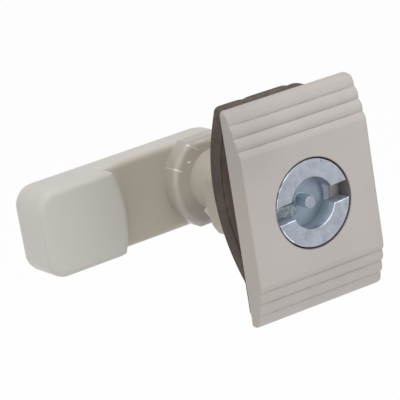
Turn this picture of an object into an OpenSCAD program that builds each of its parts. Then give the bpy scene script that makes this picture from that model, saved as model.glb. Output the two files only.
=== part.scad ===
// Quarter-turn cabinet lock with a reeded face plate, a double-bit key insert and a long moulded cam.
// The origin is on the spindle axis at the back of the face plate, +Z is up and +Y points into the cabinet.

/* [Face plate] */
// Height of the face plate
plate_h = 50; // [46:0.5:60]
// Width of the face plate
plate_w = 34.5; // [33:0.5:44]
// Thickness of the plate at its flat field
plate_t = 5.4; // [5.2:0.1:7]
// Number of reeds at the top and at the bottom of the plate
reed_count = 3; // [2:1:3]
// Width of one reed
reed_pitch = 2.8; // [2.4:0.1:3.2]
// Width of the outermost reed
edge_reed_w = 3.1; // [2.7:0.1:3.4]
// Step down from one reed to the next
reed_step = 0.9; // [0.7:0.05:1]
// Radius of a reed's rounded front
reed_r = 2.3; // [2:0.1:2.8]
// Radius of the outermost reed's rounded front
edge_reed_r = 2.9; // [2.7:0.1:3.4]
// Thickness left at the outer edge of the plate
edge_t = 0.7; // [0.5:0.1:1]
// Radius of the plate's four corners
plate_corner_r = 0.9; // [0.5:0.1:2]

/* [Sleeve] */
// Outer diameter of the sleeve that goes through the panel
sleeve_d = 20; // [19:0.25:21]
// Distance across the two flats of the sleeve that keep it from turning in the panel
sleeve_flats = 18.4; // [17.6:0.1:19]
// Bore of the sleeve
sleeve_bore_d = 15; // [14:0.1:15.4]
// Length of the sleeve past the nut
sleeve_past_nut = 0.3; // [0.2:0.1:2]
// Length of the stop lugs behind the end of the sleeve
stop_len = 5.8; // [3:0.1:7]
// Angle that one stop lug of the sleeve covers
stop_angle = 52; // [40:1:60]
// Angle at which the stop lug at the lower left starts, counted from +X towards +Z
stop_start = 203; // [195:1:210]

/* [Gasket] */
// Width of the rubber gasket
gasket_w = 30; // [27:0.5:32]
// Height of the gasket's top edge above the spindle
gasket_top = 24.8; // [22:0.1:26]
// Depth of the gasket's bottom edge below the spindle
gasket_bottom = 23.8; // [20:0.1:24.5]
// Thickness of the rubber
gasket_t = 3.8; // [2:0.1:4.4]
// Distance from the plate to the back of the bowed rubber
gasket_bow = 10.9; // [9:0.1:14]
// Radius of the bow
gasket_bow_r = 33; // [28:0.5:40]
// Height of the bow's middle above the spindle
gasket_bow_z = 4.8; // [0:0.1:6]
// Radius of the gasket's corners
gasket_corner_r = 2.5; // [1:0.1:5]

/* [Fixing nut] */
// Distance across the flats of the nut
nut_flats = 24.2; // [23.5:0.1:28]
// Thickness of the nut
nut_t = 8.5; // [6:0.1:10]
// Depth to which the six corners of the nut are turned down
nut_corner_cut = 0.7; // [0.2:0.1:1]
// Depth of the chamfer at both ends of the nut
nut_chamfer = 1.4; // [0.6:0.1:1.8]

/* [Key insert] */
// Diameter of the insert's head
head_d = 19.9; // [18.5:0.1:20.4]
// Thickness of the insert's head
head_t = 3.8; // [3:0.1:4]
// Distance of the head's face below the plate's field
head_recess = 0.1; // [0:0.05:0.4]
// Diameter of the key socket
socket_d = 11.7; // [10.5:0.1:12.4]
// Depth of the socket's floor
socket_depth = 5; // [4.6:0.1:8]
// Depth of the side pocket in the socket's floor
pocket_depth = 9; // [8.2:0.1:11]
// Angle that the side pocket covers, above the ledge
pocket_angle = 49; // [20:1:60]
// Distance of the side pocket's wall from the socket's wall
pocket_inset = 0.4; // [0.2:0.1:1]
// Angle at which the ledge beside the pin starts, counted from +X towards +Z
ledge_start = 180; // [165:1:185]
// Angle that the ledge covers
ledge_angle = 46; // [25:1:60]
// Width of the two slots for the key's wings
wing_w = 4; // [3:0.1:4.5]
// Depth by which the slots and the ledge lie behind the insert's head
wing_past = 0.1; // [0.05:0.05:0.5]
// Angle by which the slots are turned from the level, right side up
wing_turn = 3.5; // [0:0.5:10]
// Diameter of the pin that guides the key
key_pin_d = 3; // [2.5:0.1:4]
// Width of the level foot round the pin
pin_foot_w = 0.6; // [0.55:0.05:1]
// Distance of the pin's tip below the head's face
key_pin_recess = 1.1; // [0.5:0.1:2]
// Width of the square spindle
spindle_w = 8; // [7.5:0.1:9]
// Thickness of the sealing ring
ring_t = 1.4; // [1.2:0.05:1.6]
// Distance from the head's back to the sealing ring's groove
ring_offset = 8; // [7:0.1:10]

/* [Cam] */
// Distance from the spindle axis to the cam's tip
cam_len = 47.5; // [40:0.1:65]
// Width of the cam's bar
bar_w = 20.7; // [18:0.1:21.5]
// Thickness of the cam's bar
bar_t = 7.3; // [6:0.1:10]
// Length of the thick pad at the tip
pad_len = 22.6; // [16:0.1:26]
// Radius of the pad's end that faces the hub
pad_end_r = 28; // [20:1:40]
// Radius of the pad's corners that face the hub
pad_corner_r = 5.4; // [4:0.1:7]
// Radius of the corners at the tip
tip_r = 4.8; // [3:0.1:6]
// Radius of the rounded edges of the cam
cam_edge_r = 1.6; // [0.8:0.1:2.4]
// Distance from the spindle axis to the hub's end that faces the pad
hub_len = 11.8; // [10:0.1:14]
// Radius of the hub's end that faces the pad
hub_end_r = 12; // [11.5:0.5:18]
// Distance past the spindle axis at which the half-round end of the cam starts
hub_past = 1; // [0:0.1:3]
// Height of the hub and of the pad in front of the bar
hub_h = 4.4; // [3:0.1:6]
// Angle by which the cam hangs below the level in its play on the spindle
cam_droop = 0.8; // [0:0.1:1]
// Diameter of the cam's neck
neck_d = 15; // [14:0.1:15.2]
// Length of the cam's neck
neck_len = 12; // [8:0.1:20]

/* [Cam fastening] */
// Thread diameter of the cam screw
screw_d = 5; // [4:0.5:5]
// Length of the cam screw under its head
screw_len = 14; // [10:0.5:16]
// Distance across the flats of the screw's head
screw_flats = 8; // [7:0.5:10]
// Height of the screw's head
screw_head_h = 3.5; // [2.5:0.1:5]
// Outer diameter of the flat washer
washer_d = 15; // [12.5:0.5:20]
// Thickness of the flat washer
washer_t = 1.2; // [0.8:0.1:2]
// Outer diameter of the spring washer
spring_d = 9.2; // [8.6:0.1:11]
// Thickness of the spring washer
spring_t = 1.3; // [0.8:0.1:2]
// Angle of the split in the spring washer
spring_split = 12; // [6:1:20]

/* [Fits] */
// Radial running clearance of the insert in the sleeve
running_fit = 0.05; // [0.02:0.01:0.08]
// Radial gap round the insert's head
head_gap = 0.32; // [0.15:0.01:0.4]
// Clearance of threads, washers and pieces that slide over each other
slide_fit = 0.1; // [0.05:0.01:0.2]
// Axial play between the sleeve's end and the cam's neck
axial_play = 0.4; // [0.3:0.05:0.6]
// Radial gap between the cam's neck and the stop lugs round it
lug_gap = 0.4; // [0.3:0.05:0.6]
// Play at each end of the quarter turn, in degrees
stop_play = 1.5; // [1:0.1:2.5]

/* [Hidden] */
$fn = 96;
half = 0.5;
quarter_turn = 90;
half_turn = 180;
hexagon = 6;
// Overlap that joins the solids of one piece
joint = 0.05;
// Length by which cuts run past a surface
past = 1;

field_y = -plate_t;
head_y = field_y + head_recess;
seat_y = head_y + head_t;
nut_y = gasket_bow + slide_fit;
sleeve_end = nut_y + nut_t + sleeve_past_nut;
neck_y = sleeve_end + axial_play;
hub_y = neck_y + neck_len;
bar_y = hub_y + hub_h;
cam_back = bar_y + bar_t;
spindle_end = cam_back - axial_play;
washer_y = cam_back;
spring_y = washer_y + washer_t;
screw_head_y = spring_y + spring_t;

sleeve_r = sleeve_d * half;
sleeve_bore_r = sleeve_bore_d * half;
head_hole_r = head_d * half + head_gap;
body_r = sleeve_bore_r - running_fit;
neck_r = neck_d * half;
stop_r = sleeve_r - slide_fit;
stop_bore_r = neck_r + lug_gap;
lug_angle = half_turn - quarter_turn - stop_angle - 2 * stop_play;
nut_corner_r = nut_flats * half / cos(half_turn / hexagon);
nut_round_r = nut_corner_r - nut_corner_cut;
screw_corner_r = screw_flats * half / cos(half_turn / hexagon);
socket_r = socket_d * half;
wing_depth = head_t + wing_past;
key_pin_r = key_pin_d * half;
ring_groove_y = seat_y + ring_offset;
ring_r = body_r - ring_t * half;
screw_hole_depth = screw_len - (screw_head_y - spindle_end) + past;

// Heights above the spindle and thicknesses of the plate at the grooves, from the outermost one inwards
function groove_z(k) = plate_h * half - edge_reed_w - (k - 1) * reed_pitch;
function groove_t(k) = plate_t - (reed_count - k + 1) * reed_step;

// Centre of the circle of radius r through a and b that bulges to the right of the way from a to b
function bulge_centre(a, b, r) =
    let (mid = (a + b) * half, way = b - a, reach = sqrt(r * r - (way * way) / 4))
    mid + [-way.y, way.x] * reach / norm(way);

// Extrudes a shape of heights and thicknesses along X, with thickness towards the front
module along_x(length) {
    rotate([half_turn, -quarter_turn, 0]) linear_extrude(length, center = true) children();
}

// Extrudes a shape of X and Z along Y
module along_y(from, to) {
    translate([0, to, 0]) rotate([quarter_turn, 0, 0]) linear_extrude(to - from) children();
}

// Round rod along Y
module rod(from, to, r) {
    translate([0, to, 0]) rotate([quarter_turn, 0, 0]) cylinder(h = to - from, r = r);
}

// Turns a shape of radius and Y round the Y axis, from a start angle counted from +X towards +Z
module turned(start = 0, angle = 360) {
    rotate([quarter_turn, 0, 0]) rotate([0, 0, start])
        rotate_extrude(angle = angle) mirror([0, 1]) children();
}

// Ring section between two radii and two places along Y
module ring_section(r1, r2, from, to) {
    translate([r1, from]) square([r2 - r1, to - from]);
}

// Rectangle with rounded corners between two corner points
module rounded_rectangle(low, high, r) {
    translate([low.x + r, low.y]) square([high.x - low.x - 2 * r, high.y - low.y]);
    translate([low.x, low.y + r]) square([high.x - low.x, high.y - low.y - 2 * r]);
    for (x = [low.x + r, high.x - r])
        for (y = [low.y + r, high.y - r])
            translate([x, y]) circle(r);
}

// Section of the plate: a flat field with rounded shoulders and stepped reeds towards one edge
module plate_half_section() {
    inner = [groove_z(reed_count), groove_t(reed_count)];
    shoulder_t = plate_t - reed_r;
    shoulder_z = inner.x - sqrt(reed_r * reed_r - pow(inner.y - shoulder_t, 2));
    square([shoulder_z, plate_t]);
    translate([shoulder_z, shoulder_t]) circle(reed_r);
    polygon(concat(
        [[0, 0], [plate_h * half, 0], [plate_h * half, edge_t]],
        [for (k = [1:reed_count]) [groove_z(k), groove_t(k)]],
        [[0, inner.y]]
    ));
    intersection() {
        square([plate_h * half, plate_t]);
        union() {
            translate(bulge_centre([plate_h * half, edge_t], [groove_z(1), groove_t(1)], edge_reed_r))
                circle(edge_reed_r);
            for (k = [2:reed_count])
                translate(bulge_centre(
                    [groove_z(k - 1), groove_t(k - 1)], [groove_z(k), groove_t(k)], reed_r))
                    circle(reed_r);
        }
    }
}

// Whole section of the plate, with reeds towards both edges
module plate_section() {
    plate_half_section();
    mirror([1, 0]) plate_half_section();
}

// Sleeve with its two stop lugs, before the flats are cut
module round_sleeve() {
    rod(-joint, sleeve_end, sleeve_r);
    for (side = [0, half_turn])
        turned(stop_start + side, stop_angle)
            ring_section(stop_bore_r, stop_r, sleeve_end - joint, sleeve_end + stop_len);
}

// Face plate and threaded sleeve, moulded as one piece
module face_housing() {
    color([0.745, 0.714, 0.698]) difference() {
        union() {
            intersection() {
                along_x(plate_w) plate_section();
                along_y(field_y - past, past)
                    rounded_rectangle([-plate_w * half, -plate_h * half], [plate_w * half, plate_h * half],
                        plate_corner_r);
            }
            intersection() {
                round_sleeve();
                along_y(-past, sleeve_end + stop_len + past)
                    square([sleeve_flats, 2 * sleeve_d], center = true);
            }
        }
        rod(field_y - past, seat_y, head_hole_r);
        rod(seat_y - joint, sleeve_end + past, sleeve_bore_r);
    }
}

// Section of the gasket in thickness and height: a bowed strip that ends flat on the plate
module gasket_section() {
    bow_y = gasket_bow - gasket_bow_r;
    flat_top = gasket_bow_z - sqrt(pow(gasket_bow_r - gasket_t, 2) - bow_y * bow_y);
    intersection() {
        translate([0, -gasket_bottom]) square([gasket_bow, gasket_bottom + gasket_top]);
        difference() {
            translate([bow_y, gasket_bow_z]) circle(gasket_bow_r);
            translate([bow_y, gasket_bow_z]) circle(gasket_bow_r - gasket_t);
        }
    }
    translate([0, -gasket_bottom]) square([gasket_t, gasket_bottom + flat_top + joint]);
}

// Die-cut rubber gasket, bowed on the sleeve
module panel_gasket() {
    color([0.24, 0.21, 0.19]) difference() {
        intersection() {
            rotate([quarter_turn, 0, quarter_turn])
                linear_extrude(gasket_w, center = true) gasket_section();
            along_y(-past, gasket_bow + past)
                rounded_rectangle([-gasket_w * half, -gasket_bottom], [gasket_w * half, gasket_top],
                    gasket_corner_r);
        }
        rod(-past, gasket_bow + past, sleeve_r + slide_fit * half);
    }
}

// Hexagon nut with chamfered corners
module fixing_nut() {
    color([0.79, 0.76, 0.70]) difference() {
        intersection() {
            translate([0, nut_y + nut_t, 0]) rotate([quarter_turn, half_turn / hexagon, 0])
                cylinder(h = nut_t, r = nut_corner_r, $fn = hexagon);
            turned() polygon([
                [0, nut_y],
                [nut_round_r - nut_chamfer, nut_y],
                [nut_round_r, nut_y + nut_chamfer],
                [nut_round_r, nut_y + nut_t - nut_chamfer],
                [nut_round_r - nut_chamfer, nut_y + nut_t],
                [0, nut_y + nut_t]
            ]);
        }
        rod(nut_y - past, nut_y + nut_t + past, sleeve_r + slide_fit * half);
    }
}

// Key socket with its side pocket and wing slots, as the space cut out round the guide pin and the ledge
module key_socket() {
    foot_r = key_pin_r + pin_foot_w;
    floor_y = head_y + socket_depth;
    pocket_y = head_y + pocket_depth;
    difference() {
        union() {
            rod(head_y - past, floor_y, socket_r);
            turned(ledge_start - pocket_angle, pocket_angle + ledge_angle * half)
                ring_section(foot_r, socket_r - pocket_inset, head_y, pocket_y);
            rotate([0, -wing_turn, 0]) translate([-head_d, head_y - past, -wing_w * half])
                cube([2 * head_d, wing_depth + past, wing_w]);
        }
        rod(head_y + key_pin_recess, floor_y + past, key_pin_r);
        turned(ledge_start, ledge_angle)
            ring_section(foot_r, socket_r + past, head_y + wing_depth, pocket_y + past);
    }
}

// Cast insert with the key socket in front and a square spindle behind
module lock_insert() {
    color([0.62, 0.65, 0.69]) difference() {
        union() {
            rod(head_y, seat_y, head_d * half);
            rod(seat_y - joint, neck_y, body_r);
            along_y(neck_y - joint, spindle_end) square(spindle_w, center = true);
        }
        key_socket();
        turned()
            ring_section(ring_r - ring_t * half - joint, body_r + past,
                ring_groove_y, ring_groove_y + ring_t + joint);
        rod(spindle_end - screw_hole_depth, spindle_end + past, screw_d * half + slide_fit * half);
    }
}

// Rubber ring that seals the insert in the sleeve
module sealing_ring() {
    color([0.12, 0.12, 0.12])
        turned() translate([ring_r, ring_groove_y + ring_t * half]) circle(ring_t * half);
}

// Round disc along Y with rounded rims, from a front face to the cam's back
module cam_disc(front, r) {
    turned() {
        translate([0, front + cam_edge_r]) square([r, cam_back - front - 2 * cam_edge_r]);
        translate([0, front]) square([r - cam_edge_r, cam_back - front]);
        for (y = [front + cam_edge_r, cam_back - cam_edge_r])
            translate([r - cam_edge_r, y]) circle(cam_edge_r);
    }
}

// Cam-shaped slab from a front face to the cam's back, with all its outer edges rounded
module cam_slab(front) {
    corner_x = tip_r - cam_len;
    corner_z = bar_w * half - tip_r;
    translate([hub_past, 0, 0]) cam_disc(front, bar_w * half);
    for (side = [-1, 1])
        translate([corner_x, 0, side * corner_z]) cam_disc(front, tip_r);
    translate([corner_x, 0, 0]) rotate([quarter_turn, 0, quarter_turn])
        linear_extrude(hub_past - corner_x)
            rounded_rectangle([front, -bar_w * half], [cam_back, bar_w * half], cam_edge_r);
    linear_extrude(2 * corner_z, center = true)
        rounded_rectangle([-cam_len, front], [corner_x + tip_r, cam_back], cam_edge_r);
}

// Pad's end that faces the hub, with its corners taken off
module pad_end() {
    end_x = pad_len - cam_len;
    reach = bar_w * half + joint;
    intersection() {
        translate([end_x - pad_end_r, 0, 0]) cam_disc(hub_y, pad_end_r);
        along_y(hub_y - past, cam_back + past)
            rounded_rectangle([-2 * cam_len, -reach], [end_x + half, reach], pad_corner_r);
    }
}

// Moulded cam: neck, hub, bar and a thick pad that bears on the frame
module cam() {
    color([0.80, 0.785, 0.76]) rotate([0, -cam_droop, 0]) difference() {
        union() {
            cam_slab(bar_y);
            intersection() {
                cam_slab(hub_y);
                union() {
                    pad_end();
                    translate([hub_end_r - hub_len, 0, 0]) cam_disc(hub_y, hub_end_r);
                }
            }
            rod(neck_y, hub_y + joint, neck_r);
            for (side = [0, half_turn])
                turned(stop_start + stop_angle + stop_play + side, lug_angle)
                    ring_section(neck_r - joint, stop_r, neck_y, sleeve_end + stop_len);
        }
        along_y(neck_y - past, cam_back + past) square(spindle_w + 2 * slide_fit, center = true);
    }
}

// Flat washer behind the cam
module cam_washer() {
    color([0.72, 0.73, 0.74]) difference() {
        rod(washer_y, spring_y, washer_d * half);
        rod(washer_y - past, spring_y + past, screw_d * half + slide_fit);
    }
}

// Split spring washer under the screw's head
module cam_spring_washer() {
    color([0.70, 0.71, 0.72])
        turned(spring_split * half, 2 * half_turn - spring_split)
            ring_section(screw_d * half + slide_fit, spring_d * half, spring_y, screw_head_y);
}

// Hexagon screw that holds the cam on the spindle
module cam_screw() {
    color([0.72, 0.73, 0.74]) {
        translate([0, screw_head_y + screw_head_h, 0]) rotate([quarter_turn, 0, 0])
            cylinder(h = screw_head_h, r = screw_corner_r, $fn = hexagon);
        rod(screw_head_y - screw_len, screw_head_y + joint, screw_d * half);
    }
}

face_housing();
panel_gasket();
fixing_nut();
lock_insert();
sealing_ring();
cam();
cam_washer();
cam_spring_washer();
cam_screw();
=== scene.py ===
"""Quarter-turn cabinet lock: finishes, rubber gasket, sleeve thread and studio stage around the CAD frame."""

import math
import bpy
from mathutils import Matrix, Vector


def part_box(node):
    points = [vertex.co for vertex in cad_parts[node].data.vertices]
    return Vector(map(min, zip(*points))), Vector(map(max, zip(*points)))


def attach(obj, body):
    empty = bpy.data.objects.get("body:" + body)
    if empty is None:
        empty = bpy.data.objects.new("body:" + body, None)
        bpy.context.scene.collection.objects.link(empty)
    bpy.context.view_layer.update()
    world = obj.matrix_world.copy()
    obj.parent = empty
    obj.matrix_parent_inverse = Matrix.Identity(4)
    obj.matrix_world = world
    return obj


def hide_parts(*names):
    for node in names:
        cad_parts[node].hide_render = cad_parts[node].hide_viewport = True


bl_info = {
    "name": "Cabinet Lock",
    "version": (1, 0, 0),
    "blender": (4, 5, 0),
    "location": "3D View > Sidebar > Lock",
    "description": "Dresses the quarter-turn cabinet lock and sets its studio stage",
    "category": "Object",
}

import bmesh
import bpy
from bpy.props import FloatProperty, FloatVectorProperty, IntProperty, PointerProperty
from bpy.types import Operator, Panel, PropertyGroup
from mathutils import Matrix, Vector

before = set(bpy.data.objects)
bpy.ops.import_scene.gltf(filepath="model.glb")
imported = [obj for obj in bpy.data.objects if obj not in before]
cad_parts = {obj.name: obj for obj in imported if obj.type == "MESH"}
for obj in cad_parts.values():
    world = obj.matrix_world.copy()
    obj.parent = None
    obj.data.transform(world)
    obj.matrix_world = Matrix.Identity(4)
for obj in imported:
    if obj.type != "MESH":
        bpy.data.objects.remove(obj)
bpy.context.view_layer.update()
GASKET_LOW, GASKET_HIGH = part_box("panel_gasket")
PLATE_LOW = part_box("face_housing")[0]

MM = 0.001

# Rounded edges of the CAD pieces
PLATE_EDGE = 0.30 * MM
NUT_EDGE = 0.30 * MM
CAM_EDGE = 0.25 * MM
CASTING_EDGE = 0.12 * MM
PLATED_EDGE = 0.15 * MM
EDGE_SEGMENTS = 3
EDGE_ANGLE = math.radians(40.0)
EDGE_WELD = 0.001 * MM
EDGE_WEIGHT = 50

# Mesh of the gasket
CORNER_SEGMENTS = 6
WORN_CORNER_SEGMENTS = 14
CORNER_REACH = 1.0 * MM
STRIP_COLUMNS = 24
STRIP_ROWS = 58
STRIP_ANGLE = math.radians(35.0)
RIM_SEGMENTS = 3
RIM_ANGLE = math.radians(50.0)
HOLE_SIDES = 96
PUNCH_LENGTH = 60.0 * MM

# Dips in the gasket's top edge
LEFT_DIP_X = -7.6 * MM
CORNER_DIP_X = 4.9 * MM
DIP_HALF_WIDTH = 0.7 * MM
DIP_HEIGHT = 0.4 * MM
DIP_SPREAD = 2.2 * MM

# Mesh of the thread
RIDGE_SIDES = 3
TURN_STEPS = 96
THREAD_ANGLE = math.radians(30.0)

MESH_WELD = 0.002 * MM

# Studio stage
FLOOR_SIZE = 12.0
PAPER_GREY = 0.90
FLOOR_WHITE = 0.95
SKY_WHITE = 1.0
SENSOR_WIDTH = 36.0
CLIP_START = 0.01

# Name, place, size and power setting of each lamp
LAMPS = (
    ("key_light", (0.40, -1.12, 0.20), 0.7, "key_power"),
    ("side_light", (-1.10, -0.35, 0.32), 0.9, "side_power"),
    ("top_light", (-0.10, -0.20, 1.18), 0.9, "top_power"),
    ("left_spark", (-0.60, -0.70, 0.80), 0.14, "spark_power"),
    ("top_spark", (0.58, -0.34, 0.98), 0.14, "spark_power"),
)

# Sockets of the mix node that hold colours
MIX_FIRST, MIX_SECOND, MIX_RESULT = 6, 7, 2


def length(label, note, size):
    """Property for a length in metres."""
    return FloatProperty(name=label, description=note, default=size, min=0.0, precision=5, unit="LENGTH")


def angle(label, note, degrees):
    """Property for an angle that is given in degrees."""
    return FloatProperty(name=label, description=note, default=math.radians(degrees), subtype="ANGLE")


def power(label, note, watts):
    """Property for the power of a light."""
    return FloatProperty(name=label, description=note, default=watts, min=0.0, unit="POWER")


def colour(label, note, shade):
    """Property for a linear colour."""
    return FloatVectorProperty(name=label, description=note, default=shade, size=3, min=0.0, max=1.0,
                               subtype="COLOR")


class LockGasketSizes(PropertyGroup):
    """Sizes of the bowed rubber gasket."""

    thickness: length("Thickness", "Thickness of the rubber", 3.8 * MM)
    bow_radius: length("Bow radius", "Radius of the bowed strip's back", 33.0 * MM)
    bow_height: length("Bow height", "Height of the bow's middle above the spindle", 4.8 * MM)
    hole_radius: length("Hole radius", "Radius of the hole that passes over the thread", 10.4 * MM)
    corner_radius: length("Corner radius", "Radius of the strip's corners", 1.2 * MM)
    worn_corner_radius: length("Worn corner", "Radius of the corner at the upper right", 11.5 * MM)
    notch_depth: length("Notch depth", "Depth of the left dip in the top edge", 0.30 * MM)
    corner_notch_depth: length("Corner notch depth", "Depth of the dip beside the worn corner", 0.45 * MM)
    rim_radius: length("Rim radius", "Rounding of the rubber's edges", 0.45 * MM)
    flare: length("Flare", "Distance by which the top end stands off from the bow", 0.9 * MM)
    flare_length: length("Flare length", "Length of the top end that stands off", 9.0 * MM)


class LockThreadSizes(PropertyGroup):
    """Sizes of the thread on the sleeve."""

    pitch: length("Pitch", "Distance from one turn of the thread to the next", 1.5 * MM)
    height: length("Height", "Height of the thread's crest above the sleeve", 0.35 * MM)
    start: length("Start", "Distance from the plate's back to the thread's first turn", 0.9 * MM)
    sleeve_radius: length("Sleeve radius", "Radius of the sleeve", 10.0 * MM)
    flats: length("Flats", "Distance across the sleeve's two flats", 18.4 * MM)
    turns: IntProperty(name="Turns", description="Number of turns on the bare sleeve", default=3,
                       min=1, max=8)


class LockFinishes(PropertyGroup):
    """Colours of the lock's finishes."""

    plate: colour("Plate", "Warm grey plastic of the face plate", (0.470, 0.437, 0.414))
    cam: colour("Cam", "Light grey plastic of the cam", (0.590, 0.565, 0.525))
    nut: colour("Nut", "Cream grey plastic of the fixing nut", (0.430, 0.394, 0.326))
    rubber: colour("Rubber", "Dark brown-grey rubber of the gasket", (0.082, 0.062, 0.054))
    ring: colour("Ring", "Black rubber of the sealing ring", (0.012, 0.012, 0.012))
    casting: colour("Casting", "Blue-grey cast metal of the insert", (0.345, 0.368, 0.420))
    plating: colour("Plating", "Bright plating of the screw and washers", (0.620, 0.630, 0.640))


class LockStageSettings(PropertyGroup):
    """Camera, floor and light of the studio stage."""

    azimuth: angle("Azimuth", "Turn of the camera round the lock", -31.814)
    elevation: angle("Elevation", "Height of the camera above the level", 16.341)
    roll: angle("Roll", "Tilt of the camera about its view", -9.2)
    distance: length("Distance", "Distance from the camera to its target", 539.41 * MM)
    target: FloatVectorProperty(name="Target", description="Point the camera looks at",
                                default=(-25.588 * MM, 0.0, 7.447 * MM), size=3, subtype="TRANSLATION")
    lens: FloatProperty(name="Lens", description="Focal length of the camera in millimetres",
                        default=224.935, unit="CAMERA")
    floor_drop: length("Floor drop", "Distance from the plate's lower edge to the floor", 60.0 * MM)
    key_power: power("Key light", "Power of the soft light at the front right", 3.6)
    side_power: power("Side light", "Power of the soft light at the left", 2.8)
    top_power: power("Top light", "Power of the soft light above", 7.4)
    spark_power: power("Spark lights", "Power of each of the two small bright lights", 1.0)
    sky: FloatProperty(name="Sky", description="Strength of the even light all round", default=0.45, min=0.0)


def deselect():
    """Leaves edit mode and deselects every object."""
    if bpy.context.object and bpy.context.object.mode != "OBJECT":
        bpy.ops.object.mode_set(mode="OBJECT")
    bpy.ops.object.select_all(action="DESELECT")


def activate(piece):
    """Leaves edit mode, selects one piece alone and makes it active."""
    deselect()
    piece.select_set(True)
    bpy.context.view_layer.objects.active = piece


def start_edit(piece):
    """Opens a piece in edit mode with nothing selected."""
    activate(piece)
    bpy.ops.object.mode_set(mode="EDIT")
    bpy.ops.mesh.select_mode(type="VERT")
    bpy.ops.mesh.select_all(action="DESELECT")


def pick(piece, test):
    """Selects the vertices of a piece in edit mode whose place passes a test."""
    mesh = bmesh.from_edit_mesh(piece.data)
    for vert in mesh.verts:
        vert.select = False
    mesh.select_flush(False)
    picked = [vert for vert in mesh.verts if test(vert.co)]
    for vert in picked:
        vert.select_set(True)
    mesh.select_flush_mode()
    bmesh.update_edit_mesh(piece.data)
    if not picked:
        raise RuntimeError("nothing to select on " + piece.name)


def apply_modifier(piece, kind, **settings):
    """Adds a modifier to a piece, sets it and applies it."""
    activate(piece)
    modifier = piece.modifiers.new(kind.title(), kind)
    for key, setting in settings.items():
        setattr(modifier, key, setting)
    bpy.ops.object.modifier_apply(modifier=modifier.name)


def settle(piece, smooth_angle):
    """Closes a piece's mesh, turns its faces outwards, applies its place and smooths it up to an angle."""
    start_edit(piece)
    bpy.ops.mesh.select_all(action="SELECT")
    bpy.ops.mesh.remove_doubles(threshold=MESH_WELD)
    bpy.ops.mesh.normals_make_consistent(inside=False)
    activate(piece)
    bpy.ops.object.transform_apply(location=True, rotation=True, scale=True)
    bpy.ops.object.shade_smooth_by_angle(angle=smooth_angle)


def soften(node, width, held=True):
    """Rounds the edges of a CAD node with live modifiers and leaves its mesh as it is."""
    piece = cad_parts[node]
    weld = piece.modifiers.new("Join", "WELD")
    weld.merge_threshold = EDGE_WELD
    bevel = piece.modifiers.new("Edges", "BEVEL")
    bevel.width = width
    bevel.segments = EDGE_SEGMENTS
    bevel.use_clamp_overlap = held
    bevel.limit_method = "ANGLE"
    bevel.angle_limit = EDGE_ANGLE
    bevel.miter_outer = "MITER_ARC"
    shading = piece.modifiers.new("Shading", "WEIGHTED_NORMAL")
    shading.weight = EDGE_WEIGHT
    shading.keep_sharp = False


def dress(node, material):
    """Gives a CAD node a new material in all its slots."""
    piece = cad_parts[node]
    if not piece.material_slots:
        piece.data.materials.append(material)
    for slot in piece.material_slots:
        slot.material = material


def tint(shade, red, green, blue):
    """A colour with each of its parts made lighter or darker."""
    return tuple(min(1.0, max(0.0, part * factor)) for part, factor in zip(shade, (red, green, blue)))


def tone(shade, factor):
    """A colour made lighter or darker as a whole."""
    return tint(shade, factor, factor, factor)


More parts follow.
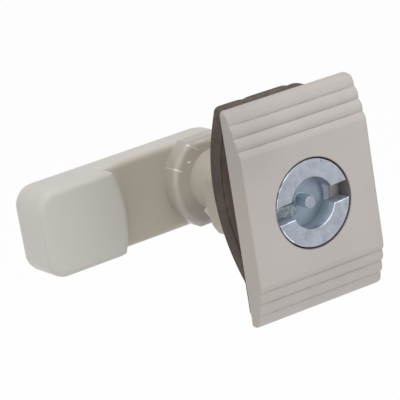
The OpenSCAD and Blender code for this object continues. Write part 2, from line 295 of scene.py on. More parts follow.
class Finish:
    """Material in the making: a shader on Object coordinates with named building steps."""

    streak_end_fade = 0.2 * MM
    streak_side_fade = 0.06 * MM

    def __init__(self, name):
        self.material = bpy.data.materials.new(name)
        self.material.use_nodes = True
        self.tree = self.material.node_tree
        self.tree.nodes.clear()
        output = self.tree.nodes.new("ShaderNodeOutputMaterial")
        self.shader = self.tree.nodes.new("ShaderNodeBsdfPrincipled")
        self.tree.links.new(self.shader.outputs["BSDF"], output.inputs["Surface"])
        self.place = self.tree.nodes.new("ShaderNodeTexCoord").outputs["Object"]

    def node(self, kind, **settings):
        """New node with its settings."""
        made = self.tree.nodes.new(kind)
        for key, setting in settings.items():
            setattr(made, key, setting)
        return made

    def join(self, source, socket):
        """Links a source to a socket."""
        self.tree.links.new(source, socket)

    def stretched(self, scale, degrees=0.0):
        """Object coordinates turned about the spindle's direction and scaled along their axes."""
        mapping = self.node("ShaderNodeMapping")
        mapping.inputs["Scale"].default_value = scale
        mapping.inputs["Rotation"].default_value = (0.0, math.radians(degrees), 0.0)
        self.join(self.place, mapping.inputs["Vector"])
        return mapping.outputs["Vector"]

    def noise(self, scale, detail=3.0, roughness=0.5, place=None):
        """Cloudy pattern from 0 to 1."""
        made = self.node("ShaderNodeTexNoise")
        made.inputs["Scale"].default_value = scale
        made.inputs["Detail"].default_value = detail
        made.inputs["Roughness"].default_value = roughness
        self.join(place or self.place, made.inputs["Vector"])
        return made.outputs["Fac"]

    def cells(self, scale):
        """Distance to the nearest of scattered points."""
        made = self.node("ShaderNodeTexVoronoi")
        made.inputs["Scale"].default_value = scale
        self.join(self.place, made.inputs["Vector"])
        return made.outputs["Distance"]

    def along(self, axis):
        """Object coordinate along X, Y or Z."""
        made = self.node("ShaderNodeSeparateXYZ")
        self.join(self.place, made.inputs["Vector"])
        return made.outputs[axis]

    def across(self, direction):
        """Distance along a slanting direction."""
        made = self.node("ShaderNodeVectorMath", operation="DOT_PRODUCT")
        made.inputs[1].default_value = direction
        self.join(self.place, made.inputs[0])
        return made.outputs["Value"]

    def from_spindle(self):
        """Distance from the spindle axis."""
        flat = self.node("ShaderNodeVectorMath", operation="MULTIPLY")
        flat.inputs[1].default_value = (1.0, 0.0, 1.0)
        self.join(self.place, flat.inputs[0])
        made = self.node("ShaderNodeVectorMath", operation="LENGTH")
        self.join(flat.outputs["Vector"], made.inputs[0])
        return made.outputs["Value"]

    def math(self, kind, first, second):
        """Sum, product or other mathematics of a pattern and a pattern or number."""
        made = self.node("ShaderNodeMath", operation=kind)
        self.join(first, made.inputs[0])
        if isinstance(second, (int, float)):
            made.inputs[1].default_value = second
        else:
            self.join(second, made.inputs[1])
        return made.outputs["Value"]

    def product(self, first, *others):
        """Product of a pattern and of further patterns or numbers."""
        for other in others:
            first = self.math("MULTIPLY", first, other)
        return first

    def largest(self, first, *others):
        """Largest of some patterns at each place."""
        for other in others:
            first = self.math("MAXIMUM", first, other)
        return first

    def off(self, source, middle=0.0):
        """Distance of a pattern from a value."""
        return self.math("ABSOLUTE", self.math("SUBTRACT", source, middle), 0.0)

    def span(self, source, ends, values):
        """Maps the span between two ends of a pattern onto two values, and holds it between them."""
        made = self.node("ShaderNodeMapRange", clamp=True)
        for name, number in zip(("From Min", "From Max", "To Min", "To Max"), (*ends, *values)):
            made.inputs[name].default_value = number
        self.join(source, made.inputs["Value"])
        return made.outputs["Result"]

    def rise(self, source, ends, share=1.0):
        """Nothing at the first end of a span, a share at its second end."""
        return self.span(source, ends, (0.0, share))

    def fall(self, source, ends, share=1.0):
        """A share at the first end of a span, nothing at its second end."""
        return self.span(source, ends, (share, 0.0))

    def near(self, source, middle, reach, fade):
        """One where a pattern is within reach of a value, fading to zero outside."""
        return self.fall(self.off(source, middle), (reach, reach + fade))

    def streak(self, x, z, degrees, half_length, half_width):
        """One on a short straight mark that runs at a slope across the front, fading at its edges."""
        slope = math.radians(degrees)
        along = self.across((math.cos(slope), 0.0, math.sin(slope)))
        off = self.across((-math.sin(slope), 0.0, math.cos(slope)))
        middle_along = x * math.cos(slope) + z * math.sin(slope)
        middle_off = z * math.cos(slope) - x * math.sin(slope)
        return self.product(self.near(along, middle_along, half_length, self.streak_end_fade),
                            self.near(off, middle_off, half_width, self.streak_side_fade))

    def tones(self, pattern, shade, stops):
        """Darker and lighter tones of a colour along a pattern, from pairs of place and factor."""
        made = self.node("ShaderNodeValToRGB")
        ramp = made.color_ramp
        for position, _ in stops[1:-1]:
            ramp.elements.new(position)
        for element, (position, factor) in zip(ramp.elements, stops):
            element.position = position
            element.color = (*tone(shade, factor), 1.0)
        self.join(pattern, made.inputs["Fac"])
        return made.outputs["Color"]

    def blend(self, pattern, first, second):
        """Blends a colour source into a second colour by a pattern."""
        made = self.node("ShaderNodeMix", data_type="RGBA", blend_type="MIX")
        self.join(pattern, made.inputs["Factor"])
        self.join(first, made.inputs[MIX_FIRST])
        made.inputs[MIX_SECOND].default_value = (*second, 1.0)
        return made.outputs[MIX_RESULT]

    def relief(self, pattern, strength, depth, before=None):
        """Bump from a pattern, on top of an earlier bump."""
        made = self.node("ShaderNodeBump")
        made.inputs["Strength"].default_value = strength
        made.inputs["Distance"].default_value = depth
        self.join(pattern, made.inputs["Height"])
        if before:
            self.join(before, made.inputs["Normal"])
        return made.outputs["Normal"]

    def set(self, **sockets):
        """Sets sockets of the shader to a number or a source and returns the material."""
        for name, source in sockets.items():
            socket = self.shader.inputs[name.replace("_", " ")]
            if isinstance(source, bpy.types.NodeSocket):
                self.join(source, socket)
            else:
                socket.default_value = source
        return self.material


def moulded_base(finish, shade):
    """Colour of moulded plastic with faint flow marks and small darker specks from rubbing."""
    flow = finish.noise(scale=55.0, detail=4.0, roughness=0.55)
    flowing = finish.tones(flow, shade, ((0.30, 0.95), (0.52, 1.0), (0.75, 1.05)))
    specks = finish.rise(finish.noise(scale=1500.0, detail=2.0), (0.70, 0.78), share=0.35)
    speck_shade = tone(shade, 0.78)
    return finish.blend(specks, flowing, speck_shade)


def moulded_relief(finish, wave):
    """Bump of moulded plastic: slow waves and fine grain."""
    waves = finish.noise(scale=210.0, roughness=0.45)
    grain = finish.noise(scale=5200.0, detail=2.0)
    bump = finish.relief(waves, strength=wave, depth=0.4 * MM)
    return finish.relief(grain, strength=0.10, depth=0.05 * MM, before=bump)


def moulded_gloss(finish, roughness):
    """Uneven roughness of moulded plastic."""
    smoother, rougher = 0.07, 0.08
    uneven = finish.noise(scale=120.0, detail=5.0, roughness=0.6)
    return finish.span(uneven, (0.3, 0.7), (roughness - smoother, roughness + rougher))


def nut_plastic(shade):
    """Cream grey plastic of the nut."""
    finish = Finish("nut_plastic")
    return finish.set(Base_Color=moulded_base(finish, shade), Roughness=moulded_gloss(finish, roughness=0.46),
                      Normal=moulded_relief(finish, wave=0.06), Specular_IOR_Level=0.45)


def plate_plastic(shade):
    """Warm grey plastic of the plate: sides in painted warm shade, a painted shade patch at the upper left,
    dirt and painted shade in the grooves, and painted shade round the insert.
    """
    groove_height, groove_gap = 19.1 * MM, 2.8 * MM
    groove_width, groove_end = (0.02 * MM, 0.26 * MM), (13.0 * MM, 16.4 * MM)
    recess_rim, recess_front = (10.36 * MM, 10.52 * MM), (-0.6 * MM, -0.9 * MM)
    recess_left, seat_rim = (-9.5 * MM, -5.0 * MM), (9.7 * MM, 9.95 * MM)
    side_edge = (16.8 * MM, 17.1 * MM)
    patch_right, patch_low = (-3.0 * MM, -12.0 * MM), (6.0 * MM, 13.0 * MM)
    painted_warm_shade = tint(shade, 0.93, 0.905, 0.865)
    dull = tone(shade, 0.86)
    painted_shade_and_dirt = tone(shade, 0.34)

    finish = Finish("plate_plastic")
    sideways, backwards, upwards = (finish.along(axis) for axis in "XYZ")
    from_middle, from_spindle = finish.off(sideways), finish.from_spindle()
    from_groove = finish.off(finish.off(upwards), groove_height)
    from_groove = finish.math("MINIMUM", from_groove, finish.off(from_groove, groove_gap))
    patchy = finish.noise(scale=260.0, detail=4.0, roughness=0.6)
    # Grooves between the reeds: dirt and painted shade, broken up in patches.
    in_groove = finish.product(finish.fall(from_groove, groove_width, share=0.42),
                               finish.span(patchy, (0.25, 0.65), (0.35, 1.0)),
                               finish.fall(from_middle, groove_end))
    # Painted shade in the recess round the insert, weaker towards the left and on the seat.
    in_recess = finish.product(finish.fall(from_spindle, recess_rim, share=0.93),
                               finish.rise(backwards, recess_front),
                               finish.span(sideways, recess_left, (0.45, 1.0)),
                               finish.span(from_spindle, seat_rim, (0.42, 1.0)))
    # Painted shade: the plate's sides darker and warmer than its front.
    at_side = finish.rise(from_middle, side_edge, share=0.95)
    # Painted shade: a darker patch on the upper left of the front.
    in_upper_left = finish.product(finish.rise(sideways, patch_right),
                                   finish.rise(upwards, patch_low, share=0.8))

    base = finish.blend(at_side, moulded_base(finish, shade), painted_warm_shade)
    base = finish.blend(in_upper_left, base, dull)
    base = finish.blend(finish.largest(in_groove, in_recess), base, painted_shade_and_dirt)
    return finish.set(Base_Color=base, Roughness=moulded_gloss(finish, roughness=0.48),
                      Normal=moulded_relief(finish, wave=0.05), Specular_IOR_Level=0.45)


def hub_painted_glints(finish):
    """Mask of painted highlights: bright, broken glints on the front of the cam's hub."""
    marks = (
        finish.streak(x=-5.1 * MM, z=8.9 * MM, degrees=-36.0, half_length=1.4 * MM, half_width=0.07 * MM),
        finish.streak(x=-6.9 * MM, z=5.9 * MM, degrees=-10.0, half_length=0.35 * MM, half_width=0.16 * MM),
        finish.streak(x=-10.0 * MM, z=4.7 * MM, degrees=-31.0, half_length=0.65 * MM, half_width=0.13 * MM),
    )
    broken = finish.span(finish.noise(scale=1400.0, detail=2.0), (0.38, 0.50), (0.25, 0.95))
    on_front = finish.near(finish.along("Y"), middle=34.0 * MM, reach=2.2 * MM, fade=0.3 * MM)
    return finish.product(finish.largest(*marks), broken, on_front)


def cam_plastic(shade):
    """Light grey plastic of the cam: painted warm shade along the bar's front, painted shade on the pad's
    front, on the hub's front and under the hub, and shiny and lumpy at the hub with painted glints.
    """
    bar_left, bar_front = (-25.5 * MM, -23.0 * MM), (37.6 * MM, 36.9 * MM)
    hub_left, hub_foot = (-13.5 * MM, -12.5 * MM), (36.50 * MM, 36.35 * MM)
    pad_right, pad_front = (-23.0 * MM, -24.5 * MM), (33.6 * MM, 32.8 * MM)
    hub_front, hub_low = (32.5 * MM, 33.3 * MM), (-1.5 * MM, -5.0 * MM)
    hub_polish = 0.27
    painted_warm_shade = tint(shade, 0.85, 0.80, 0.715)
    pad_front_painted_shade = tone(shade, 0.90)
    hub_painted_shade = tint(shade, 0.72, 0.685, 0.66)
    under_hub_painted_shade = tone(hub_painted_shade, 0.84)
    glint_painted_highlight = tone(shade, 1.55)

    finish = Finish("cam_plastic")
    sideways, backwards, upwards = (finish.along(axis) for axis in "XYZ")
    # Painted warm shade on the bar's front face.
    at_bar = finish.product(finish.rise(sideways, bar_left, share=0.9), finish.rise(backwards, bar_front))
    at_hub = finish.product(finish.rise(sideways, hub_left), finish.rise(backwards, hub_foot))
    # Painted shade on the pad's front face.
    at_pad = finish.product(finish.rise(sideways, pad_right), finish.rise(backwards, pad_front))
    # Painted shade on the hub's front, greyer and darker.
    on_hub_front = finish.product(at_hub, finish.span(backwards, hub_front, (0.5, 0.85)))
    # Painted shade: the hub and neck darker towards the bottom.
    under_hub = finish.product(at_hub, finish.rise(upwards, hub_low, share=0.6))

    base = finish.blend(at_bar, moulded_base(finish, shade), painted_warm_shade)
    base = finish.blend(at_pad, base, pad_front_painted_shade)
    base = finish.blend(on_hub_front, base, hub_painted_shade)
    base = finish.blend(under_hub, base, under_hub_painted_shade)
    # Painted highlights: glints on the hub's front.
    base = finish.blend(hub_painted_glints(finish), base, glint_painted_highlight)
    gloss = finish.math("SUBTRACT", moulded_gloss(finish, roughness=0.44), finish.product(at_hub, hub_polish))
    ripple = finish.product(finish.noise(scale=340.0), at_hub)
    bump = finish.relief(ripple, strength=0.45, depth=0.6 * MM, before=moulded_relief(finish, wave=0.08))
    return finish.set(Base_Color=base, Roughness=gloss, Normal=bump, Specular_IOR_Level=0.5)


def cast_scratches(finish):
    """Mask of the scratches that cross the casting in two directions."""
    lines = finish.stretched((5200.0, 5200.0, 420.0), degrees=38.0)
    crossing = finish.stretched((520.0, 4200.0, 4200.0), degrees=22.0)
    first = finish.rise(finish.noise(scale=1.0, detail=2.0, place=lines), (0.60, 0.72), share=0.55)
    second = finish.rise(finish.noise(scale=1.0, detail=2.0, place=crossing), (0.62, 0.74), share=0.45)
    return finish.largest(first, second)


def cast_pits(finish):
    """Mask of the casting's pits, which are denser towards its rim."""
    pits = finish.fall(finish.cells(scale=900.0), (0.10, 0.22))
    at_rim = finish.near(finish.from_spindle(), middle=9.0 * MM, reach=0.5 * MM, fade=1.2 * MM)
    return finish.product(pits, finish.span(at_rim, (0.0, 1.0), (0.25, 0.8)))


def painted_edge_glints(finish, clouds):
    """Mask of painted highlights on the casting's rim at the left, on the socket's lip at the lower right and
    along the slots' lower edges.
    """
    rim, rim_right = (9.55 * MM, 9.80 * MM), (-3.0 * MM, -6.5 * MM)
    lip_left, lip_high = (0.5 * MM, 2.0 * MM), (0.2 * MM, -0.6 * MM)
    slot_start = (5.7 * MM, 5.9 * MM)
    slot_across = (-0.061, 0.0, 0.998)

    sideways, upwards, from_spindle = finish.along("X"), finish.along("Z"), finish.from_spindle()
    # Painted highlights: bright lines on the rim, the lip and the slots' lower edges.
    rim_glint = finish.product(finish.rise(from_spindle, rim, share=0.9), finish.rise(clouds, (0.42, 0.58)),
                              finish.rise(sideways, rim_right))
    lip = finish.product(finish.near(from_spindle, middle=5.90 * MM, reach=0.12 * MM, fade=0.08 * MM),
                         finish.rise(sideways, lip_left), finish.rise(upwards, lip_high))
    slots = finish.near(finish.across(slot_across), middle=-2.10 * MM, reach=0.10 * MM, fade=0.08 * MM)
    slots = finish.product(slots, finish.rise(from_spindle, slot_start, share=0.8))
    lip_and_slot_glints = finish.product(finish.largest(lip, slots), finish.span(clouds, (0.30, 0.55), (0.35, 0.9)))
    return finish.largest(rim_glint, lip_and_slot_glints)


def cast_face(finish, shade, clouds, scratches):
    """Colour of the casting's face: clouded skin with painted shade towards the left, scratches, pits and
    painted edge highlights.
    """
    painted_shade_span = (-9.0 * MM, -1.0 * MM)
    painted_shade_tone = tone(shade, 0.84)
    scratch_shade = tone(shade, 1.45)
    pit_shade = tone(shade, 0.40)
    painted_highlight_tone = tone(shade, 2.4)

    # Painted shade: the casting's face darker towards the left.
    tone_drift = finish.fall(finish.along("X"), painted_shade_span, share=0.75)
    face = finish.tones(clouds, shade, ((0.28, 0.78), (0.50, 1.0), (0.74, 1.25)))
    face = finish.blend(tone_drift, face, painted_shade_tone)
    face = finish.blend(scratches, face, scratch_shade)
    face = finish.blend(cast_pits(finish), face, pit_shade)
    return finish.blend(painted_edge_glints(finish, clouds), face, painted_highlight_tone)


def socket_skin(finish, shade, face, inside, at_step_depth):
    """Colour of the casting with its socket: teal walls, a floor with painted shade, painted reflection of
    the plate in lilac at the upper right and on the step, which also has painted shade, and the pin with
    painted light on its side.
    """
    floor_depth, pin_depth = (-1.1 * MM, -0.6 * MM), (-4.15 * MM, -4.0 * MM)
    lilac_left, lilac_low = (0.0, 3.0 * MM), (0.2 * MM, 1.6 * MM)
    step_left, pin_rim = (5.0 * MM, 5.6 * MM), (1.60 * MM, 1.75 * MM)
    teal = tint(shade, 1.06, 1.22, 1.22)
    floor_painted_shade = tone(teal, 0.86)
    painted_plate_reflection = tint(teal, 0.98, 0.84, 0.92)
    step_reflection_and_shade = tint(teal, 0.84, 0.70, 0.78)
    pin_side_painted_light = tone(teal, 1.62)
    pin_tip_shade = tone(shade, 0.88)

    sideways, depth, upwards = (finish.along(axis) for axis in "XYZ")
    in_upper_right = finish.product(finish.rise(sideways, lilac_left),
                                    finish.rise(upwards, lilac_low), inside)
    on_step = finish.product(at_step_depth, finish.rise(sideways, step_left, share=0.9))
    on_pin = finish.fall(finish.from_spindle(), pin_rim)

    skin = finish.blend(inside, face, teal)
    # Painted shade: the socket's floor darker than its walls.
    skin = finish.blend(finish.rise(depth, floor_depth), skin, floor_painted_shade)
    # Painted reflection of the plate in lilac at the upper right, and on the step with painted shade.
    skin = finish.blend(in_upper_right, skin, painted_plate_reflection)
    skin = finish.blend(on_step, skin, step_reflection_and_shade)
    # Painted light on the pin's side.
    skin = finish.blend(finish.product(on_pin, finish.rise(depth, pin_depth)), skin, pin_side_painted_light)
    return finish.blend(finish.product(on_pin, finish.fall(depth, pin_depth)), skin, pin_tip_shade)


def cast_metal(name, shade):
    """Dull cast metal with scratches, pits, painted shade towards the left and painted edge highlights on its
    face, and a rough teal skin in its socket with painted shade, painted reflections and painted light.
    """
    socket_depth, ledge_right = (-4.9 * MM, -2.6 * MM), (-1.2 * MM, -2.0 * MM)
    inside_share, inside_dullness = 0.85, 0.1
    crumb_dark, crumb_pale = tone(shade, 0.35), tone(shade, 1.5)

    finish = Finish(name)
    depth = finish.along("Y")
    clouds = finish.noise(scale=420.0, detail=6.0, roughness=0.62)
    scratches = cast_scratches(finish)
    inside = finish.rise(depth, socket_depth, share=inside_share)
    at_step_depth = finish.near(depth, middle=-1.4 * MM, reach=0.15 * MM, fade=0.2 * MM)
    on_ledge = finish.product(at_step_depth, finish.rise(finish.along("X"), ledge_right))
    crumbs = finish.noise(scale=1700.0, detail=4.0, roughness=0.65)
    dark_crumbs = finish.product(finish.rise(crumbs, (0.66, 0.36), share=0.95), on_ledge)
    pale_crumbs = finish.product(finish.rise(crumbs, (0.58, 0.76), share=0.6), on_ledge)

    base = cast_face(finish, shade, clouds, scratches)
    base = socket_skin(finish, shade, base, inside, at_step_depth)
    base = finish.blend(dark_crumbs, base, crumb_dark)
    base = finish.blend(pale_crumbs, base, crumb_pale)
    bump = finish.relief(clouds, strength=0.22, depth=0.12 * MM)
    bump = finish.relief(scratches, strength=0.15, depth=0.04 * MM, before=bump)
    bump = finish.relief(finish.product(crumbs, on_ledge), strength=0.6, depth=0.2 * MM, before=bump)
    gloss = finish.span(clouds, (0.25, 0.75), (0.34, 0.56))
    gloss = finish.math("ADD", gloss, finish.product(inside, inside_dullness))
    shine = finish.span(inside, (0.0, inside_share), (0.85, 0.50))
    return finish.set(Base_Color=base, Metallic=shine, Roughness=gloss, Normal=bump)


def plated_metal(name, shade):
    """Bright plated steel with fine drawn lines and cloudy tones."""
    finish = Finish(name)
    tone_drift = finish.tones(finish.noise(scale=300.0, detail=4.0), shade, ((0.3, 0.85), (0.7, 1.08)))
    drawn = finish.noise(scale=1.0, detail=2.0, place=finish.stretched((4500.0, 500.0, 4500.0)))
    bump = finish.relief(drawn, strength=0.12, depth=0.03 * MM)
    gloss = finish.span(drawn, (0.3, 0.7), (0.22, 0.38))
    return finish.set(Base_Color=tone_drift, Metallic=1.0, Roughness=gloss, Normal=bump)


def dull_rubber(name, shade):
    """Dull die-cut rubber with dust in its grain, painted light within its cut sides and mottled at its upper
    end.
    """
    cut_side, upper_end = (14.5 * MM, 14.8 * MM), (19.0 * MM, 22.0 * MM)
    dust_and_painted_light_tone = tone(shade, 2.6)
    mottle_shade = tint(shade, 1.75, 2.1, 2.0)

    finish = Finish(name)
    upwards = finish.along("Z")
    patches = finish.noise(scale=130.0, detail=5.0, roughness=0.6)
    dust = finish.rise(finish.noise(scale=1900.0), (0.58, 0.74), share=0.40)
    # Painted light: the strip's inner face lightened, less towards its upper end; dust shares its tone.
    inner_painted_light = finish.product(finish.fall(finish.off(finish.along("X")), cut_side, share=0.78),
                           finish.span(upwards, upper_end, (1.0, 0.25)))
    mottle = finish.product(finish.rise(upwards, upper_end),
                            finish.rise(finish.noise(scale=800.0), (0.42, 0.62), share=0.5))

    base = finish.tones(patches, shade, ((0.30, 0.72), (0.52, 1.0), (0.76, 1.45)))
    base = finish.blend(finish.largest(dust, inner_painted_light), base, dust_and_painted_light_tone)
    base = finish.blend(mottle, base, mottle_shade)
    lumps, grain = finish.noise(scale=320.0), finish.noise(scale=2600.0)
    bump = finish.relief(lumps, strength=0.25, depth=0.25 * MM)
    bump = finish.relief(grain, strength=0.30, depth=0.08 * MM, before=bump)
    gloss = finish.span(patches, (0.3, 0.7), (0.62, 0.86))
    return finish.set(Base_Color=base, Roughness=gloss, Normal=bump, Specular_IOR_Level=0.3)


class LOCK_OT_dress_plastics(Operator):
    """Finish the face plate, the fixing nut and the cam as moulded plastic"""

    bl_idname = "lock.dress_plastics"
    bl_label = "Dress Plastics"

    def execute(self, context):
        finishes = context.scene.lock_finishes
        dress("face_housing", plate_plastic(finishes.plate))
        dress("fixing_nut", nut_plastic(finishes.nut))
        dress("cam", cam_plastic(finishes.cam))
        soften("face_housing", PLATE_EDGE)
        soften("fixing_nut", NUT_EDGE)
        soften("cam", CAM_EDGE)
        return {"FINISHED"}


class LOCK_OT_dress_metals(Operator):
    """Finish the insert as a dull casting and the cam's fastening as plated steel"""

    bl_idname = "lock.dress_metals"
    bl_label = "Dress Metals"

    def execute(self, context):
        finishes = context.scene.lock_finishes
        dress("lock_insert", cast_metal("zinc_casting", finishes.casting))
        plating = plated_metal("plated_steel", finishes.plating)
        soften("lock_insert", CASTING_EDGE, held=False)
        for node in ("cam_washer", "cam_spring_washer", "cam_screw"):
            dress(node, plating)
            soften(node, PLATED_EDGE)
        return {"FINISHED"}


class LOCK_OT_dress_ring(Operator):
    """Finish the sealing ring as black rubber"""

    bl_idname = "lock.dress_ring"
    bl_label = "Dress Ring"

    def execute(self, context):
        dress("sealing_ring", dull_rubber("ring_rubber", context.scene.lock_finishes.ring))
        return {"FINISHED"}


class LOCK_OT_add_gasket(Operator):
    """Model the bowed rubber gasket with its worn top edge"""

    bl_idname = "lock.add_gasket"
    bl_label = "Add Gasket"

    def execute(self, context):
        sizes = context.scene.lock_gasket
        radius = sizes.bow_radius
        low, high = GASKET_LOW, GASKET_HIGH
        width = high.x - low.x
        centre_y = high.y - radius
        foot_angle = math.acos((sizes.thickness - centre_y) / radius)
        top = radius * math.asin((high.z - sizes.bow_height) / radius)
        bottom = -radius * foot_angle
        foot_z = sizes.bow_height - radius * math.sin(foot_angle)
        foot_len = foot_z - low.z
        lowest = bottom - foot_len
        span = top - bottom + foot_len
        middle = (top + lowest) / 2

        strip = self.add_strip(width, span, middle)
        start_edit(strip)
        self.round_corners(strip, sizes, width, top, lowest)
        self.cut((1.0, 0.0, 0.0), width, 0.0, STRIP_COLUMNS)
        self.cut((0.0, 0.0, 1.0), span, middle, STRIP_ROWS)
        self.wear_top(strip, sizes, top)
        bpy.ops.mesh.select_all(action="SELECT")
        bpy.ops.mesh.extrude_region_move(TRANSFORM_OT_translate={"value": (0.0, -sizes.thickness, 0.0)})
        settle(strip, STRIP_ANGLE)
        self.bow(strip, sizes, centre_y, top, bottom)
        self.cut_hole(strip, sizes.hole_radius)
        apply_modifier(strip, "BEVEL", width=sizes.rim_radius, segments=RIM_SEGMENTS, limit_method="ANGLE",
                       angle_limit=RIM_ANGLE)
        settle(strip, RIM_ANGLE)
        strip.data.materials.append(dull_rubber("gasket_rubber", context.scene.lock_finishes.rubber))
        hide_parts("panel_gasket")
        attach(strip, "housing")
        return {"FINISHED"}

    @staticmethod
    def add_strip(width, span, middle):
        """Adds the flat strip as one upright face, as long as the bow and the foot together."""
        deselect()
        bpy.ops.mesh.primitive_plane_add(size=1.0, rotation=(math.pi / 2, 0.0, 0.0))
        strip = bpy.context.object
        strip.name = "rubber_gasket"
        strip.dimensions = (width, span, 0.0)
        strip.location = (0.0, 0.0, middle)
        bpy.ops.object.transform_apply(location=True, rotation=True, scale=True)
        return strip

    @staticmethod
    def round_corners(strip, sizes, width, top, lowest):
        """Rounds the flat strip's corners, the worn one at the upper right by more."""
        pick(strip, lambda at: at.z < lowest + CORNER_REACH or at.x < -CORNER_REACH)
        bpy.ops.mesh.bevel(offset=sizes.corner_radius, segments=CORNER_SEGMENTS, affect="VERTICES")
        pick(strip, lambda at: at.z > top - CORNER_REACH and at.x > width / 2 - CORNER_REACH)
        bpy.ops.mesh.bevel(offset=sizes.worn_corner_radius, segments=WORN_CORNER_SEGMENTS, affect="VERTICES")

    @staticmethod
    def cut(normal, reach, middle, parts):
        """Cuts the flat strip that is open in edit mode into even rows, so that it can bow."""
        for step in range(1, parts):
            at = middle - reach / 2 + reach * step / parts
            bpy.ops.mesh.select_all(action="SELECT")
            bpy.ops.mesh.bisect(plane_co=tuple(part * at for part in normal), plane_no=normal)

    @staticmethod
    def wear_top(strip, sizes, top):
        """Presses two dips into the flat strip's top edge."""
        for place, depth in ((LEFT_DIP_X, sizes.notch_depth), (CORNER_DIP_X, sizes.corner_notch_depth)):
            pick(strip, lambda at: abs(at.x - place) < DIP_HALF_WIDTH and at.z > top - DIP_HEIGHT)
            bpy.ops.transform.translate(value=(0.0, 0.0, -depth), use_proportional_edit=True,
                                        proportional_edit_falloff="SHARP", proportional_size=DIP_SPREAD)

    @staticmethod
    def bow(strip, sizes, centre_y, top, bottom):
        """Lays the strip round the bow, its lower end flat along the plate and its top end a little off."""
        for vert in strip.data.vertices:
            along = max(vert.co.z, bottom)
            turn = along / sizes.bow_radius
            lift = sizes.flare * max(0.0, 1.0 - (top - along) / sizes.flare_length) ** 2
            reach = sizes.bow_radius + vert.co.y
            if vert.co.z < bottom:
                foot = sizes.bow_radius * math.cos(turn) + centre_y
                fall = sizes.bow_radius * math.sin(turn) + vert.co.z - bottom
                vert.co = (vert.co.x, foot + vert.co.y, sizes.bow_height + fall)
            else:
                vert.co = (vert.co.x, centre_y + reach * math.cos(turn) + lift,
                           sizes.bow_height + reach * math.sin(turn))

    @staticmethod
    def cut_hole(strip, radius):
        """Cuts the hole for the sleeve and its thread through the bowed strip."""
        deselect()
        bpy.ops.mesh.primitive_cylinder_add(vertices=HOLE_SIDES, radius=radius, depth=PUNCH_LENGTH,
                                            rotation=(math.pi / 2, 0.0, 0.0))
        punch = bpy.context.object
        apply_modifier(strip, "BOOLEAN", object=punch, operation="DIFFERENCE", solver="EXACT")
        bpy.data.objects.remove(punch)


class LOCK_OT_add_thread(Operator):
    """Model the bare turns of the sleeve's thread between the plate and the gasket"""

    bl_idname = "lock.add_thread"
    bl_label = "Add Thread"

    def execute(self, context):
        sizes = context.scene.lock_thread
        start = (sizes.sleeve_radius, sizes.start, 0.0)
        steps = TURN_STEPS * sizes.turns
        deselect()
        bpy.ops.mesh.primitive_circle_add(vertices=RIDGE_SIDES, radius=sizes.height, fill_type="NOTHING",
                                          location=start)
        ridge = context.object
        ridge.name = "sleeve_thread"
        bpy.ops.object.transform_apply(location=True, rotation=True, scale=True)
        start_edit(ridge)
        bpy.ops.mesh.select_all(action="SELECT")
        bpy.ops.transform.rotate(value=math.pi / 2, orient_axis="Z", center_override=start)
        apply_modifier(ridge, "SCREW", axis="Y", angle=2.0 * math.pi * sizes.turns,
                       screw_offset=sizes.pitch * sizes.turns, steps=steps, render_steps=steps,
                       use_merge_vertices=True)
        start_edit(ridge)
        bpy.ops.mesh.select_all(action="SELECT")
        bpy.ops.mesh.fill_holes(sides=RIDGE_SIDES)
        for side in (-1.0, 1.0):
            bpy.ops.mesh.select_all(action="SELECT")
            bpy.ops.mesh.bisect(plane_co=(side * sizes.flats / 2, 0.0, 0.0), plane_no=(side, 0.0, 0.0),
                                clear_outer=True, use_fill=True)
        settle(ridge, THREAD_ANGLE)
        ridge.data.materials.append(bpy.data.materials["plate_plastic"])
        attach(ridge, "housing")
        return {"FINISHED"}


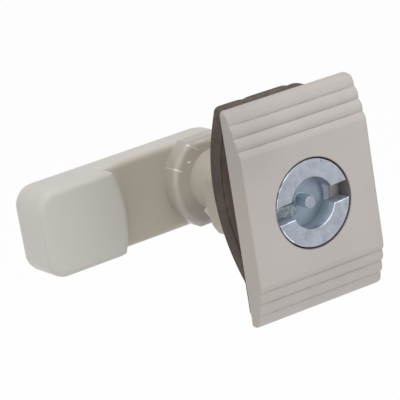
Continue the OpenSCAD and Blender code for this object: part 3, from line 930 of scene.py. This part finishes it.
class LOCK_OT_add_stage(Operator):
    """Set the floor, the lights, the sky and the camera"""

    bl_idname = "lock.add_stage"
    bl_label = "Add Stage"

    def execute(self, context):
        stage = context.scene.lock_stage
        self.add_floor(stage)
        self.add_sky(context.scene, stage)
        for name, place, size, setting in LAMPS:
            self.add_lamp(name, place, size, getattr(stage, setting))
        self.add_camera(context.scene, stage)
        context.scene.view_settings.view_transform = "Standard"
        return {"FINISHED"}

    @staticmethod
    def white_to_camera(tree, lit, white, output, share):
        """Shows a share of white to the camera and to mirrors, and keeps the lit surface for the rest."""
        path = tree.nodes.new("ShaderNodeLightPath")
        total = path.outputs["Is Camera Ray"]
        for name in ("Is Glossy Ray", "Is Transmission Ray"):
            made = tree.nodes.new("ShaderNodeMath")
            made.operation = "MAXIMUM"
            tree.links.new(total, made.inputs[0])
            tree.links.new(path.outputs[name], made.inputs[1])
            total = made.outputs["Value"]
        part = tree.nodes.new("ShaderNodeMath")
        part.operation = "MULTIPLY"
        part.inputs[1].default_value = share
        tree.links.new(total, part.inputs[0])
        mix = tree.nodes.new("ShaderNodeMixShader")
        tree.links.new(part.outputs["Value"], mix.inputs["Fac"])
        tree.links.new(lit, mix.inputs[1])
        tree.links.new(white, mix.inputs[2])
        tree.links.new(mix.outputs["Shader"], output)

    def add_floor(self, stage):
        """Wide pale floor below the lock that the camera sees as nearly white."""
        deselect()
        level = PLATE_LOW.z - stage.floor_drop
        bpy.ops.mesh.primitive_plane_add(size=FLOOR_SIZE, location=(0.0, 0.0, level))
        floor = bpy.context.object
        floor.name = "studio_floor"
        bpy.ops.object.transform_apply(location=True, rotation=True, scale=True)
        material = bpy.data.materials.new("studio_paper")
        material.use_nodes = True
        tree = material.node_tree
        tree.nodes.clear()
        output = tree.nodes.new("ShaderNodeOutputMaterial")
        paper = tree.nodes.new("ShaderNodeBsdfDiffuse")
        paper.inputs["Color"].default_value = (PAPER_GREY, PAPER_GREY, PAPER_GREY, 1.0)
        white = tree.nodes.new("ShaderNodeEmission")
        white.inputs["Strength"].default_value = 1.0
        self.white_to_camera(tree, paper.outputs["BSDF"], white.outputs["Emission"],
                             output.inputs["Surface"], FLOOR_WHITE)
        floor.data.materials.append(material)

    def add_sky(self, scene, stage):
        """Even light all round, white where the camera or metal sees it."""
        world = bpy.data.worlds.new("studio_sky")
        world.use_nodes = True
        scene.world = world
        tree = world.node_tree
        tree.nodes.clear()
        output = tree.nodes.new("ShaderNodeOutputWorld")
        light = tree.nodes.new("ShaderNodeBackground")
        light.inputs["Strength"].default_value = stage.sky
        white = tree.nodes.new("ShaderNodeBackground")
        white.inputs["Strength"].default_value = 1.0
        self.white_to_camera(tree, light.outputs["Background"], white.outputs["Background"],
                             output.inputs["Surface"], SKY_WHITE)

    @staticmethod
    def add_lamp(name, place, size, watts):
        """Square soft light that faces the lock."""
        lamp = bpy.data.lights.new(name, "AREA")
        lamp.size = size
        lamp.energy = watts
        holder = bpy.data.objects.new(name, lamp)
        bpy.context.collection.objects.link(holder)
        holder.location = place
        holder.rotation_euler = (-Vector(place)).to_track_quat("-Z", "Y").to_euler()

    @staticmethod
    def add_camera(scene, stage):
        """Camera at the viewing angle, with its tilt."""
        turn, rise, roll = stage.azimuth, stage.elevation, stage.roll
        back = Vector((math.sin(turn) * math.cos(rise), -math.cos(turn) * math.cos(rise), math.sin(rise)))
        right = Vector((math.cos(turn), math.sin(turn), 0.0))
        up = back.cross(right)
        side = math.cos(roll) * right + math.sin(roll) * up
        top = -math.sin(roll) * right + math.cos(roll) * up
        camera = bpy.data.cameras.new("studio_camera")
        camera.sensor_width = SENSOR_WIDTH
        camera.lens = stage.lens
        camera.clip_start = CLIP_START
        holder = bpy.data.objects.new("studio_camera", camera)
        scene.collection.objects.link(holder)
        turned = Matrix((side, top, back)).transposed().to_4x4()
        holder.matrix_world = Matrix.Translation(Vector(stage.target) + back * stage.distance) @ turned
        scene.camera = holder


class LOCK_PT_panel(Panel):
    """Steps that dress the lock"""

    bl_idname = "LOCK_PT_panel"
    bl_label = "Cabinet Lock"
    bl_space_type = "VIEW_3D"
    bl_region_type = "UI"
    bl_category = "Lock"

    def draw(self, context):
        scene = context.scene
        for group in (scene.lock_gasket, scene.lock_thread, scene.lock_finishes, scene.lock_stage):
            box = self.layout.box()
            for name in group.bl_rna.properties.keys():
                if name not in ("rna_type", "name"):
                    box.prop(group, name)
        for step in STEPS:
            self.layout.operator(step.bl_idname)


GROUPS = (
    ("lock_gasket", LockGasketSizes),
    ("lock_thread", LockThreadSizes),
    ("lock_finishes", LockFinishes),
    ("lock_stage", LockStageSettings),
)
STEPS = (
    LOCK_OT_dress_plastics,
    LOCK_OT_dress_metals,
    LOCK_OT_dress_ring,
    LOCK_OT_add_gasket,
    LOCK_OT_add_thread,
    LOCK_OT_add_stage,
)


def register():
    """Registers the settings, steps and panel."""
    for name, group in GROUPS:
        bpy.utils.register_class(group)
        setattr(bpy.types.Scene, name, PointerProperty(type=group))
    for step in STEPS:
        bpy.utils.register_class(step)
    bpy.utils.register_class(LOCK_PT_panel)


def unregister():
    """Removes the panel, steps and settings."""
    bpy.utils.unregister_class(LOCK_PT_panel)
    for step in reversed(STEPS):
        bpy.utils.unregister_class(step)
    for name, group in reversed(GROUPS):
        delattr(bpy.types.Scene, name)
        bpy.utils.unregister_class(group)


def main():
    """Dresses the lock step by step."""
    register()
    bpy.ops.lock.dress_plastics()
    bpy.ops.lock.dress_metals()
    bpy.ops.lock.dress_ring()
    bpy.ops.lock.add_gasket()
    bpy.ops.lock.add_thread()
    bpy.ops.lock.add_stage()


if __name__ == "__main__":
    main()
